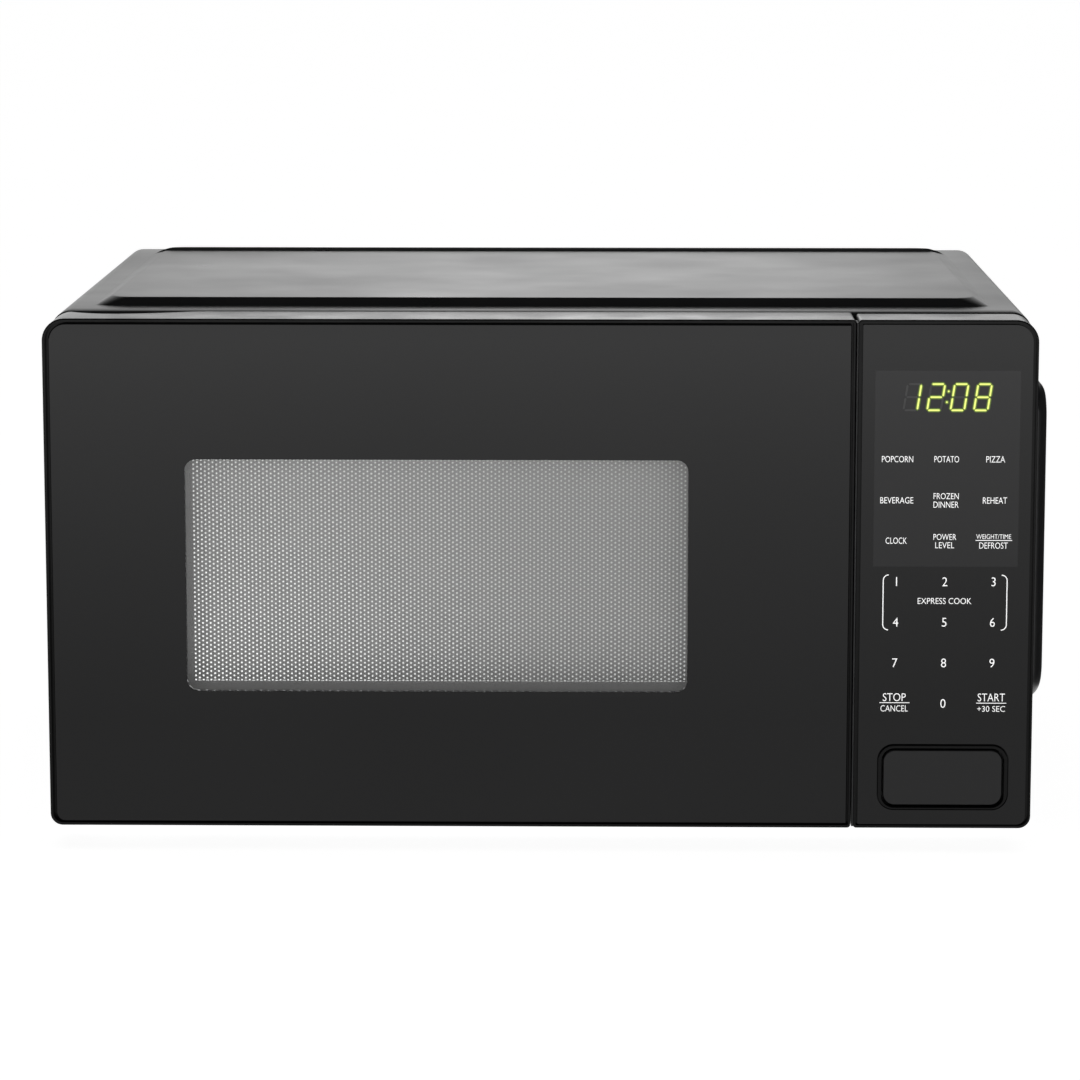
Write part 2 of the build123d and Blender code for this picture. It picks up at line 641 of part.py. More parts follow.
with BuildPart() as fan_motor:
    block((FAN_X - 25, FAN_X + 25), (282, 294), (FAN_Z - 24, FAN_Z + 24))
    rod(facing(276), (FAN_X, FAN_Z), 15.0, -24)
    block((FAN_X - 47, FAN_X + 47), (294, 296), (FAN_Z - 8, FAN_Z + 8))
    rod(facing(280), (FAN_X, FAN_Z), 2.5 + RUNNING, -30, mode=Mode.SUBTRACT)
finish(fan_motor, "fan_motor")

with BuildPart() as fan_blade:
    rod(facing(302.5), (FAN_X, FAN_Z), 10.0, -12.5)
    rod(facing(284), (FAN_X, FAN_Z), 2.5, -20)
    hub = ORIGIN + Vector(FAN_X, 308.5, FAN_Z)
    for number in range(7):
        turn = Location(hub, (0, 360 / 7 * number, 0))
        with Locations(turn * Location((24, 0, 0), (28, 0, 0))):
            Box(31, 1.6, 19)
finish(fan_blade, "fan_blade")

with BuildPart() as lamp_socket:
    block((112.5, 132), (92, 120), (181, 202))
    block((111.5, 126), (94, 118), (182, 201), mode=Mode.SUBTRACT)
    for y in (100, 110):
        block((132, 138), (y, y + 2), (186, 190))
finish(lamp_socket, "lamp_socket")

with BuildPart() as cavity_lamp:
    rod(upright(118), (106, 191.5), 6.5, 8)
    rod(upright(112.5), (106, 191.5), 8.0, 6.5)
    fillet(cavity_lamp.edges().filter_by(GeomType.CIRCLE).sort_by(Axis.X)[0], 5.0)
finish(cavity_lamp, "cavity_lamp")

CUTOUTS = {"cavity_thermostat": (20.0, 290.0, 213.0), "magnetron_thermostat": (168.0, 200.0, 188.0)}
for name, (x, y, z) in CUTOUTS.items():
    with BuildPart() as thermostat:
        rod(level(z), (x, y), 8.0, 4.0)
        rod(level(z + 4), (x, y), 6.0, 3.0)
        block((x - 12, x + 12), (y - 5, y + 5), (z, z + 0.8))
        for side in (-4, 3):
            block((x + side, x + side + 1), (y - 2, y + 2), (z + 7, z + 10))
    finish(thermostat, name)

with BuildPart() as line_filter_board:
    block((128, 208), (272, 326), (200, 201.6))
    block((134, 158), (280, 306), (201.6, 218))  # choke
    block((166, 186), (280, 292), (201.6, 214))  # capacitor
    rod(facing(298), (178, 204.0), 2.6, -20)  # fuse
    for x in (130, 206):
        block((x - 1.5, x + 1.5), (326, 334), (200, 210))
finish(line_filter_board, "line_filter_board")

with BuildPart() as cord_gland:
    rod(facing(328), CORD, CORD_NECK_R, -7.2)
    for near, far in ((331, 334), (335, 340)):  # flanges on either side of the rear panel
        block((CORD[0] - 9, CORD[0] + 9), (near, far), (CORD[1] - 9, CORD[1] + 9))
    fillet(cord_gland.faces().sort_by(Axis.Y)[-1].edges(), 2.0)
    rod(facing(327), CORD, CORD_R, -14, mode=Mode.SUBTRACT)
finish(cord_gland, "cord_gland")

SCREWS = [(x, z) for x in (-213.5, 213.5) for z in (30, 205)] + [(-70, 222.5), (70, 222.5)]
with BuildPart() as case_screws:
    for x, z in SCREWS:
        rod(facing(336), (x, z), 3.6, -1.8)
        with BuildSketch(facing(337)):
            with Locations((x, z)):
                Rectangle(4.4, 0.9)
                Rectangle(0.9, 4.4)
        extrude(amount=-3, mode=Mode.SUBTRACT)
finish(case_screws, "case_screws")
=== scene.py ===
"""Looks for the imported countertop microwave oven: front glass and legends, perforated door
screen, formed steel wrap, and a procedural material for every piece.

Lengths in mm are in cabinet coordinates: x from the middle of the front, y back from the
door's face, z up from the bottom edge of the front. at() turns them into the frame.
"""

import json
import math

import bmesh
import bpy
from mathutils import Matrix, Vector


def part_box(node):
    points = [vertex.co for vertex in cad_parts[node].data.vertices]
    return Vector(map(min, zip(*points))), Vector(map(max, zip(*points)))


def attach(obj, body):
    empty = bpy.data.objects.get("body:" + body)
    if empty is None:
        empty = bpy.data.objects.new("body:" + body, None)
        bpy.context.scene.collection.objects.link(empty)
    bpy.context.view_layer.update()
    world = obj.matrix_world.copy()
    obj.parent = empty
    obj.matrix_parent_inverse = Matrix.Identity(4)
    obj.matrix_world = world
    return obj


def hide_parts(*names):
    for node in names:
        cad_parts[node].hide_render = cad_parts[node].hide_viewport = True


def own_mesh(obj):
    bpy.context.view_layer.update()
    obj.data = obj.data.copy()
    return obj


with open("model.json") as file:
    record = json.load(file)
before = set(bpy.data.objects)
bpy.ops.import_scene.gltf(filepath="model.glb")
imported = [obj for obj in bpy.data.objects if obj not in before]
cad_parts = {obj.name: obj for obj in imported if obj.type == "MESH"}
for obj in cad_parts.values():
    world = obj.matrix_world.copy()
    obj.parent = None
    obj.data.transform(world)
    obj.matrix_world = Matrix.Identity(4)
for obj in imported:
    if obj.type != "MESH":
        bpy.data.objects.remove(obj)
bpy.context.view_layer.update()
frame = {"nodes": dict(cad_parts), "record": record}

# ---- datum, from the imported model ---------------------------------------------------
MM = 0.001
door_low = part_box("door_frame")[0]
panel_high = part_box("control_panel_frame")[1]
ORIGIN = Vector(((door_low.x + panel_high.x) / 2, door_low.y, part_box("outer_cabinet")[0].z))


def at(x, y, z):
    """A point in cabinet coordinates, mm, as a point of the frame, m."""
    return ORIGIN + Vector((x, y, z)) * MM


def local_box(node):
    """A node's box in cabinet coordinates: (x, y, z) pairs of (low, high) in mm."""
    low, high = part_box(node)
    return [((low[i] - ORIGIN[i]) / MM, (high[i] - ORIGIN[i]) / MM) for i in range(3)]


# ---- materials ----------------------------------------------------------------------
def socket(node, name, value):
    node.inputs[name].default_value = value


class Finish:
    """A Principled material whose colour, roughness and relief come from noise."""

    def __init__(self, name, colour, roughness, metallic=0.0):
        self.material = bpy.data.materials.new(name)
        self.material.use_nodes = True
        self.nodes = self.material.node_tree.nodes
        self.links = self.material.node_tree.links
        self.shader = self.nodes["Principled BSDF"]
        self.colour = (*colour, 1.0)
        socket(self.shader, "Base Color", self.colour)
        socket(self.shader, "Roughness", roughness)
        socket(self.shader, "Metallic", metallic)
        self.place = self.nodes.new("ShaderNodeTexCoord").outputs["Object"]
        self.height = None

    def noise(self, scale, detail=3.0, stretch=None):
        """Noise with the given number of features per metre."""
        source = self.place
        if stretch:
            mapping = self.nodes.new("ShaderNodeMapping")
            socket(mapping, "Scale", stretch)
            self.links.new(source, mapping.inputs["Vector"])
            source = mapping.outputs["Vector"]
        texture = self.nodes.new("ShaderNodeTexNoise")
        socket(texture, "Scale", scale)
        socket(texture, "Detail", detail)
        self.links.new(source, texture.inputs["Vector"])
        return texture.outputs["Fac"]

    def ramp(self, factor, low, high, start=0.3, end=0.7):
        """Maps a factor to a range of values."""
        node = self.nodes.new("ShaderNodeMapRange")
        for name, value in (("From Min", start), ("From Max", end), ("To Min", low), ("To Max", high)):
            socket(node, name, value)
        self.links.new(factor, node.inputs["Value"])
        return node.outputs["Result"]

    def mixed_colour(self, factor, second, amount=1.0):
        """Blends the colour reached so far towards a second one by a factor."""
        node = self.nodes.new("ShaderNodeMix")
        node.data_type = "RGBA"
        linked = self.shader.inputs["Base Color"].links
        if linked:
            self.links.new(linked[0].from_socket, node.inputs["A"])
        else:
            node.inputs["A"].default_value = self.colour
        node.inputs["B"].default_value = (*second, 1.0)
        self.links.new(self.ramp(factor, 0.0, amount), node.inputs["Factor"])
        self.links.new(node.outputs["Result"], self.shader.inputs["Base Color"])
        return self

    def rough_between(self, factor, low, high):
        self.links.new(self.ramp(factor, low, high), self.shader.inputs["Roughness"])
        return self

    def relief(self, factor, depth_mm, strength=0.5):
        """Adds bump of a given depth."""
        bump = self.nodes.new("ShaderNodeBump")
        socket(bump, "Strength", strength)
        socket(bump, "Distance", depth_mm * MM)
        self.links.new(factor, bump.inputs["Height"])
        if self.height:
            self.links.new(self.height, bump.inputs["Normal"])
        self.height = bump.outputs["Normal"]
        self.links.new(self.height, self.shader.inputs["Normal"])
        return self

    def set(self, **values):
        for name, value in values.items():
            socket(self.shader, name.replace("_", " "), value)
        return self


def powder_coat():
    """Satin black paint with a fine orange peel and faint dust."""
    made = Finish("powder_coat", (0.006, 0.006, 0.0065), 0.30)
    made.rough_between(made.noise(14.0), 0.27, 0.33)
    made.mixed_colour(made.noise(35.0, 6.0), (0.010, 0.010, 0.0105), 0.6)
    made.relief(made.noise(1500.0, 2.0), 0.02, 0.10)
    return made.set(Specular_IOR_Level=0.5).material


def gloss_plastic(name, shade, roughness, shine):
    """Polished black moulding with faint flow marks."""
    made = Finish(name, (shade, shade, shade * 1.04), roughness)
    made.rough_between(made.noise(40.0, 4.0), roughness * 0.8, roughness * 1.35)
    made.relief(made.noise(260.0, 2.0), 0.01, 0.06)
    return made.set(Specular_IOR_Level=shine).material


def grained_plastic(name, colour, roughness=0.5, grain=1400.0):
    """Moulding with a spark-eroded grain."""
    made = Finish(name, colour, roughness)
    made.rough_between(made.noise(60.0), roughness * 0.9, min(1.0, roughness * 1.15))
    darker = tuple(c * 0.8 for c in colour)
    made.mixed_colour(made.noise(25.0, 5.0), darker, 0.5)
    made.relief(made.noise(grain, 2.0), 0.05, 0.25)
    return made.material


def black_glass(name):
    """Front glass with its black print behind: deep black under a polished face."""
    made = Finish(name, (0.003, 0.003, 0.0032), 0.02)
    made.rough_between(made.noise(9.0, 4.0), 0.012, 0.035)
    made.mixed_colour(made.noise(5.0, 3.0), (0.0055, 0.0055, 0.0058), 0.7)
    return made.set(Specular_IOR_Level=0.22).material


def enamel(name, colour):
    """Baked oven enamel with fine speckle."""
    made = Finish(name, colour, 0.38)
    speck = made.noise(1100.0, 1.0)
    made.mixed_colour(made.ramp(speck, 0.0, 1.0, 0.62, 0.72), tuple(c * 0.72 for c in colour), 0.5)
    made.rough_between(made.noise(30.0), 0.32, 0.44)
    made.relief(made.noise(900.0, 2.0), 0.02, 0.12)
    return made.material


def galvanised(name, colour=(0.56, 0.57, 0.58)):
    """Zinc-coated sheet with spangles."""
    made = Finish(name, colour, 0.36, metallic=0.95)
    cells = made.nodes.new("ShaderNodeTexVoronoi")
    socket(cells, "Scale", 95.0)
    made.links.new(made.place, cells.inputs["Vector"])
    grey = made.nodes.new("ShaderNodeRGBToBW")
    made.links.new(cells.outputs["Color"], grey.inputs["Color"])
    made.mixed_colour(made.ramp(grey.outputs["Val"], 0.3, 0.7, 0.1, 0.9), (0.40, 0.41, 0.43), 0.8)
    made.rough_between(grey.outputs["Val"], 0.27, 0.45)
    made.relief(made.noise(400.0, 2.0), 0.01, 0.08)
    return made.material


def bare_steel(name, colour=(0.62, 0.62, 0.61), roughness=0.28):
    """Drawn or rolled steel with lay lines."""
    made = Finish(name, colour, roughness, metallic=1.0)
    lay = made.noise(60.0, 5.0, stretch=(1.0, 1.0, 30.0))
    made.rough_between(lay, roughness * 0.8, roughness * 1.4)
    made.relief(lay, 0.01, 0.1)
    return made.material


def copper_winding():
    """Rows of enamelled wire under varnish."""
    made = Finish("copper_winding", (0.42, 0.17, 0.06), 0.35)
    wave = made.nodes.new("ShaderNodeTexWave")
    wave.bands_direction = "Z"
    socket(wave, "Scale", 160.0)
    socket(wave, "Distortion", 0.6)
    made.links.new(made.place, wave.inputs["Vector"])
    made.mixed_colour(wave.outputs["Fac"], (0.16, 0.05, 0.02), 0.8)
    made.relief(wave.outputs["Fac"], 0.4, 0.7)
    return made.set(Coat_Weight=0.4).material


def circuit_board():
    """Green laminate with darker tracks."""
    made = Finish("circuit_board", (0.05, 0.16, 0.07), 0.35)
    cells = made.nodes.new("ShaderNodeTexVoronoi")
    cells.distance = "CHEBYCHEV"
    socket(cells, "Scale", 180.0)
    made.links.new(made.place, cells.inputs["Vector"])
    made.mixed_colour(cells.outputs["Distance"], (0.16, 0.26, 0.10), 0.6)
    made.relief(cells.outputs["Distance"], 0.05, 0.3)
    return made.set(Coat_Weight=0.3).material


def mica():
    """Pressed mica sheet with flakes."""
    made = Finish("mica_sheet", (0.52, 0.49, 0.42), 0.45)
    made.mixed_colour(made.noise(160.0, 8.0), (0.34, 0.30, 0.24), 0.9)
    made.relief(made.noise(240.0, 6.0), 0.05, 0.3)
    return made.material


def clear_glass(name, tint=(0.93, 0.97, 0.96)):
    """Solid clear glass for the tray and the bulb."""
    made = Finish(name, tint, 0.03)
    made.rough_between(made.noise(20.0), 0.01, 0.05)
    return made.set(Transmission_Weight=1.0, IOR=1.5).material


def see_through(name, tint, gloss):
    """A thin clear sheet: a tinted view straight through under a polished face."""
    material = bpy.data.materials.new(name)
    material.use_nodes = True
    nodes, links = material.node_tree.nodes, material.node_tree.links
    nodes.remove(nodes["Principled BSDF"])
    clear = nodes.new("ShaderNodeBsdfTransparent")
    clear.inputs["Color"].default_value = (*tint, 1.0)
    shine = nodes.new("ShaderNodeBsdfGlossy")
    socket(shine, "Roughness", gloss)
    fresnel = nodes.new("ShaderNodeFresnel")
    socket(fresnel, "IOR", 1.5)
    # the far face would mirror everything at a slant, as light goes straight through
    front = nodes.new("ShaderNodeMath")
    front.operation = "SUBTRACT"
    front.inputs[0].default_value = 1.0
    links.new(nodes.new("ShaderNodeNewGeometry").outputs["Backfacing"], front.inputs[1])
    share = nodes.new("ShaderNodeMath")
    share.operation = "MULTIPLY"
    links.new(fresnel.outputs["Fac"], share.inputs[0])
    links.new(front.outputs[0], share.inputs[1])
    mix = nodes.new("ShaderNodeMixShader")
    links.new(share.outputs[0], mix.inputs["Fac"])
    links.new(clear.outputs["BSDF"], mix.inputs[1])
    links.new(shine.outputs["BSDF"], mix.inputs[2])
    links.new(mix.outputs["Shader"], nodes["Material Output"].inputs["Surface"])
    return material


def frosted(name, tint):
    """A thin matt sheet that passes the light on either side of it, with a painted glow on its room side."""
    made = Finish(name, tint, 0.35)
    made.mixed_colour(made.noise(80.0, 4.0), tuple(c * 0.96 for c in tint), 0.6)
    made.relief(made.noise(500.0, 2.0), 0.01, 0.1)
    made.set(Emission_Color=(*tint, 1.0))
    # a painted glow standing in for the light of the lit cavity, most at the foot of its hinge side,
    # and only on its room side
    coordinates = made.nodes.new("ShaderNodeTexCoord")
    span_x, _, span_z = [sorted(ends) for ends in zip(at(-150.0, 0.0, 70.0), at(0.0, 0.0, 160.0))]
    painted_glow = None
    falls = (  # output, axis, span, strength at its start and end
        ("Object", "X", span_x, 1.25, 0.5),
        ("Object", "Z", span_z, 2.5, 0.95),
        ("Normal", "Y", (-0.5, 0.5), 1.0, 0.0),
    )
    for output, axis, span, low, high in falls:
        split = made.nodes.new("ShaderNodeSeparateXYZ")
        made.links.new(coordinates.outputs[output], split.inputs["Vector"])
        share = made.nodes.new("ShaderNodeMapRange")
        for entry, value in zip(("From Min", "From Max", "To Min", "To Max"), (*span, low, high)):
            socket(share, entry, value)
        made.links.new(split.outputs[axis], share.inputs["Value"])
        if painted_glow is None:
            painted_glow = share.outputs["Result"]
            continue
        product = made.nodes.new("ShaderNodeMath")
        product.operation = "MULTIPLY"
        made.links.new(painted_glow, product.inputs[0])
        made.links.new(share.outputs["Result"], product.inputs[1])
        painted_glow = product.outputs[0]
    made.links.new(painted_glow, made.shader.inputs["Emission Strength"])
    through = made.nodes.new("ShaderNodeBsdfTranslucent")
    through.inputs["Color"].default_value = (*tint, 1.0)
    mix = made.nodes.new("ShaderNodeMixShader")
    socket(mix, "Fac", 0.8)
    made.links.new(made.shader.outputs["BSDF"], mix.inputs[1])
    made.links.new(through.outputs["BSDF"], mix.inputs[2])
    made.links.new(mix.outputs["Shader"], made.nodes["Material Output"].inputs["Surface"])
    return made.material


def glowing(name, colour, strength):
    """A lit display segment."""
    made = Finish(name, tuple(c * 0.3 for c in colour), 0.4)
    made.mixed_colour(made.noise(300.0), tuple(c * 0.2 for c in colour), 0.5)
    return made.set(Emission_Color=(*colour, 1.0), Emission_Strength=strength).material


def printed(name, shade, painted_glow=0.0):
    """Printed ink with a faint unevenness, and an optional painted glow that lifts it above its lighting."""
    made = Finish(name, (shade, shade, shade), 0.45)
    made.mixed_colour(made.noise(900.0, 2.0), (shade * 0.85,) * 3, 0.6)
    return made.set(Emission_Color=(1.0, 1.0, 1.0, 1.0), Emission_Strength=painted_glow).material


MATERIALS = {
    "cabinet_paint": powder_coat(),
    "chassis_steel": galvanised("chassis_steel"),
    "cavity_enamel": enamel("cavity_enamel", (0.60, 0.61, 0.60)),
    "foot_plastic": grained_plastic("foot_plastic", (0.02, 0.02, 0.02), 0.62, 900.0),
    "bezel_plastic": gloss_plastic("bezel_plastic", 0.002, 0.18, 0.12),
    "front_glass": black_glass("front_glass"),
    "button_plastic": gloss_plastic("button_plastic", 0.008, 0.16, 0.25),
    "screen_paint": enamel("screen_paint", (0.46, 0.46, 0.455)),
    "inner_plastic": grained_plastic("inner_plastic", (0.02, 0.02, 0.021), 0.42),
    "clear_film": frosted("clear_film", (0.95, 0.955, 0.95)),
    "mechanism_plastic": grained_plastic("mechanism_plastic", (0.72, 0.71, 0.66), 0.4),
    "switch_plastic": grained_plastic("switch_plastic", (0.05, 0.05, 0.055), 0.4),
    "circuit_board": circuit_board(),
    "mica_sheet": mica(),
    "copper_winding": copper_winding(),
    "capacitor_can": bare_steel("capacitor_can", (0.72, 0.72, 0.72), 0.3),
    "lamp_glass": clear_glass("lamp_glass", (0.98, 0.95, 0.88)),
    "white_ceramic": grained_plastic("white_ceramic", (0.74, 0.73, 0.68), 0.55, 500.0),
    "spring_steel": bare_steel("spring_steel"),
    "tray_glass": clear_glass("tray_glass"),
}


# ---- mesh helpers -------------------------------------------------------------------
def piece(name, verts, faces, body, material, replaces=(), smooth=None, slot=None):
    """A mesh object, placed in the frame, that rides on a CAD body."""
    mesh = bpy.data.meshes.new(name)
    mesh.from_pydata([tuple(v) for v in verts], [], faces)
    mesh.validate()
    made = bmesh.new()
    made.from_mesh(mesh)
    bmesh.ops.recalc_face_normals(made, faces=made.faces)
    made.to_mesh(mesh)
    made.free()
    mesh.materials.append(material)
    if smooth is not None:
        mesh.shade_smooth()
        mesh.set_sharp_from_angle(angle=math.radians(smooth))
    obj = bpy.data.objects.new(name, mesh)
    bpy.context.scene.collection.objects.link(obj)
    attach(obj, body)
    if replaces:
        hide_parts(*replaces)
    return obj


def rounded(x, z, radii, steps=8):
    """Points round a rectangle, each corner with its radius: top left, top right,
    bottom right, bottom left. The count doesn't depend on the radii."""
    corners = (
        (x[0], z[1], 1, -1, 180),
        (x[1], z[1], -1, -1, 90),
        (x[1], z[0], -1, 1, 0),
        (x[0], z[0], 1, 1, 270),
    )
    points = []
    for (cx, cz, sx, sz, start), radius in zip(corners, radii):
        for step in range(steps + 1):
            angle = math.radians(start - 90.0 * step / steps)
            points.append(
                (cx + sx * radius + radius * math.cos(angle), cz + sz * radius + radius * math.sin(angle))
            )
    return points


def grown(x, z, radii, by):
    """The same outline, moved outward by a distance, as points."""
    bigger = [max(r + by, 0.05) for r in radii]
    return rounded((x[0] - by, x[1] + by), (z[0] - by, z[1] + by), bigger)


def lofted(name, loops, body, material, closed=False, capped=(True, True), **words):
    """A skin over loops of (y, [(x, z), ...]) that share one count."""
    count = len(loops[0][1])
    verts = [at(x, y, z) for y, points in loops for x, z in points]
    faces = []
    turns = len(loops) if closed else len(loops) - 1
    for ring in range(turns):
        for i in range(count):
            a, b = ring * count, ((ring + 1) % len(loops)) * count
            faces.append((a + i, a + (i + 1) % count, b + (i + 1) % count, b + i))
    if not closed:
        if capped[0]:
            faces.append(tuple(range(count)))
        if capped[1]:
            last = (len(loops) - 1) * count
            faces.append(tuple(last + i for i in range(count)))
    return piece(name, verts, faces, body, material, **words)


def smooth(t):
    t = min(max(t, 0.0), 1.0)
    return t * t * (3 - 2 * t)


def inside_distance(u, v, u_range, v_range, radius):
    """How far a point is inside a rounded rectangle, negative outside."""
    half_u, half_v = (u_range[1] - u_range[0]) / 2, (v_range[1] - v_range[0]) / 2
    du = abs(u - sum(u_range) / 2) - (half_u - radius)
    dv = abs(v - sum(v_range) / 2) - (half_v - radius)
    outside = math.hypot(max(du, 0.0), max(dv, 0.0))
    return radius - outside - min(max(du, dv), 0.0)


def climb(u, v, step):
    """0 at the foot of a pressed step, 1 at its crest. The corner's radius grows from foot
    to crest, as a press leaves it."""
    (u_range, v_range, foot_r, crest_r, run) = step
    low, high = 0.0, 1.0
    if inside_distance(u, v, u_range, v_range, foot_r) <= 0.0:
        return 0.0
    for _ in range(14):
        t = (low + high) / 2
        inset = run * t
        there = inside_distance(
            u, v, (u_range[0] + inset, u_range[1] - inset), (v_range[0] + inset, v_range[1] - inset),
            foot_r + (crest_r - foot_r) * t,
        )
        low, high = (t, high) if there > 0.0 else (low, t)
    return (low + high) / 2


def eased(t, soft=0.12):
    """A straight slope with rounded foot and crest."""
    if t < soft:
        h = t * t / (2 * soft)
    elif t > 1 - soft:
        h = 1 - soft - (1 - t) ** 2 / (2 * soft)
    else:
        h = t - soft / 2
    return h / (1 - soft)


def top_height(x, y):
    """Height of the raised top: it falls a little towards the back, then ends in a rib."""
    t = climb(x, y, TOP_STEP)
    back = smooth((y - 90.0) / 200.0)
    crest = TOP_STEP[1][1] - TOP_STEP[4]
    rib = eased(min(max((y - (crest - RIB[1] - RIB[2])) / RIB[2], 0.0), 1.0))
    return eased(t) * (RISE - RIB[0] * back * (1.0 - rib))


def duct_height(y, z):
    """Height of the side duct, a pressing with a full round shoulder."""
    t = climb(y, z, DUCT_STEP)
    return DUCT_RISE * math.sqrt(max(0.0, 1.0 - (1.0 - t) ** 2))


def spaced(low, high, step):
    """Even stops from low to high, about a step apart."""
    count = max(1, round((high - low) / step))
    return [low + (high - low) * i / count for i in range(count + 1)]


def graded(low, high, fine_parts, fine, coarse):
    """Stops from low to high that are fine within the given parts."""
    stops = []
    cursor = low
    for start, end in fine_parts:
        if start > cursor:
            stops += spaced(cursor, start, coarse)[:-1]
        stops += spaced(start, end, fine)[:-1]
        cursor = end
    if cursor < high:
        stops += spaced(cursor, high, coarse)[:-1]
    return stops + [high]


(cab_x, cab_y, cab_z) = local_box("outer_cabinet")
front_height = local_box("door_frame")[2][1]
SIDE = -cab_x[0]
TOP = front_height
WRAP_R = 8.5
RISE = cab_z[1] - TOP
DUCT_RISE = cab_x[1] - SIDE
TOP_STEP = ((-203.0, 203.0), (54.0, 317.0), 5.0, 11.0, 7.0)  # x, y, corner radii, run
RIB = (1.35, 3.0, 1.3)  # fall before the rib at the back, the rib's width, its front slope
DUCT_STEP = ((45.0, 300.0), (47.0, 196.0), 14.0, 10.0, 9.0)  # y, z, corner radii, run


def wrap_profile():
    """Points of the wrap's section with outward normals: up the left side, over the top
    and down the right side."""
    section = [(-SIDE, z, -1.0, 0.0) for z in spaced(0.0, TOP - WRAP_R, 20.0)]
    for step in range(1, 9):
        angle = math.radians(180 - 90 * step / 9)
        nx, nz = math.cos(angle), math.sin(angle)
        section.append((-SIDE + WRAP_R + WRAP_R * nx, TOP - WRAP_R + WRAP_R * nz, nx, nz))
    flat = SIDE - WRAP_R
    for x in graded(-flat, flat, ((-204.0, -176.0), (176.0, 204.0)), 0.6, 14.0):
        section.append((x, TOP, 0.0, 1.0))
    for step in range(1, 9):
        angle = math.radians(90 - 90 * step / 9)
        nx, nz = math.cos(angle), math.sin(angle)
        section.append((SIDE - WRAP_R + WRAP_R * nx, TOP - WRAP_R + WRAP_R * nz, nx, nz))
    heights = graded(0.0, TOP - WRAP_R, ((46.0, 64.0), (179.0, 197.0)), 0.8, 14.0)
    return section + [(SIDE, z, 1.0, 0.0) for z in reversed(heights)]


def steel_wrap():
    """The formed cover: raised top, side duct, folded front and rear edges."""
    section = wrap_profile()
    front, rear = cab_y
    fine = ((44.0, 82.0), (286.0, 302.0), (302.0, 312.0), (312.0, 319.0))
    depths = graded(front + 1.2, rear - 1.2, fine, 0.5, 8.0)
    folds_front = [(front + 2.2, 5.2), (front + 1.0, 5.2), (front, 4.2), (front, 1.2), (front + 0.35, 0.35)]
    folds_rear = [(rear - 0.35, 0.35), (rear, 1.2), (rear, 7.0), (rear - 1.0, 8.0)]
    rows = folds_front + [(y, 0.0) for y in depths] + folds_rear
    verts = []
    for y, inset in rows:
        for x, z, nx, nz in section:
            out = -inset
            if inset == 0.0 and nz == 1.0:
                out = top_height(x, y)
            if inset == 0.0 and nx == 1.0:
                out = duct_height(y, z)
            verts.append(at(x + nx * out, y, z + nz * out))
    width = len(section)
    faces = [
        (r * width + i, r * width + i + 1, (r + 1) * width + i + 1, (r + 1) * width + i)
        for r in range(len(rows) - 1)
        for i in range(width - 1)
    ]
    wrap = piece("steel_wrap", verts, faces, "cabinet", MATERIALS["cabinet_paint"],
                 replaces=["outer_cabinet"], smooth=50, slot="cabinet_paint")
    shell = wrap.modifiers.new("sheet", "SOLIDIFY")
    shell.thickness = 0.8 * MM
    shell.offset = -1.0
    shell.use_rim = True
    cut_slots(wrap, louvre_slots())
    return wrap


def louvre_slots():
    """Centres of the slots through the side duct: y, z, length, width."""
    return [
        (172.0 + 13.0 * (i - 7), 123.0 + 46.0 * (j - 0.5), 34.0, 4.5)
        for i in range(15)
        for j in range(2)
    ]


def cut_slots(target, slots):
    """Cuts rounded slots, whose length is upright, right through a sheet at its right."""
    verts, faces = [], []
    for y, z, length, width in slots:
        radius = width / 2 - 0.01
        outline = rounded((y - width / 2, y + width / 2), (z - length / 2, z + length / 2), (radius,) * 4, 5)
        base = len(verts)
        count = len(outline)
        for x in (SIDE + 2.0, SIDE + 14.0):
            verts += [at(x, u, v) for u, v in outline]
        for i in range(count):
            after = (i + 1) % count
            faces.append((base + i, base + after, base + count + after, base + count + i))
        faces += [tuple(base + i for i in range(count)), tuple(base + count + i for i in range(count))]
    mesh = bpy.data.meshes.new("cutter")
    mesh.from_pydata([tuple(v) for v in verts], [], faces)
    made = bmesh.new()
    made.from_mesh(mesh)
    bmesh.ops.recalc_face_normals(made, faces=made.faces)
    made.to_mesh(mesh)
    made.free()
    cutter = bpy.data.objects.new("cutter", mesh)
    bpy.context.scene.collection.objects.link(cutter)
    cut = target.modifiers.new("slots", "BOOLEAN")
    cut.operation = "DIFFERENCE"
    cut.solver = "EXACT"
    cut.object = cutter
    bpy.context.view_layer.update()
    shaped = bpy.data.meshes.new_from_object(target.evaluated_get(bpy.context.evaluated_depsgraph_get()))
    target.modifiers.clear()
    target.data = shaped
    bpy.data.objects.remove(cutter)
    shaped.shade_smooth()
    shaped.set_sharp_from_angle(angle=math.radians(50))


# ---- door ---------------------------------------------------------------------------
glass_x, glass_y, glass_z = local_box("door_glass")
GLASS_RADII = (7.6, 0.6, 0.6, 3.8)
WINDOW_X, WINDOW_Z, WINDOW_R = (-157.4, 65.9), (61.1, 165.5), 5.0
PITCH, HOLE_R = 2.0, 0.47
HOLES_X, HOLES_Z = (-155.1, 66.1), (63.0, 163.3)


def glass_frame(name, x, y, z, radii, hole_x, hole_z, hole_r, body, material, **words):
    """A glass slab with a bevelled edge round an opening."""
    ease = 0.5
    hole = (hole_r,) * 4
    loops = [
        (y[0], grown(hole_x, hole_z, hole, 0.0)),
        (y[0], grown(x, z, radii, -ease)),
        (y[0] + 0.6 * ease, grown(x, z, radii, 0.0)),
        (y[1], grown(x, z, radii, 0.0)),
        (y[1], grown(hole_x, hole_z, hole, 0.0)),
    ]
    return lofted(name, loops, body, material, closed=True, smooth=30, **words)


PANEL_BORDER = 2.0  # plastic left of the panel's glass


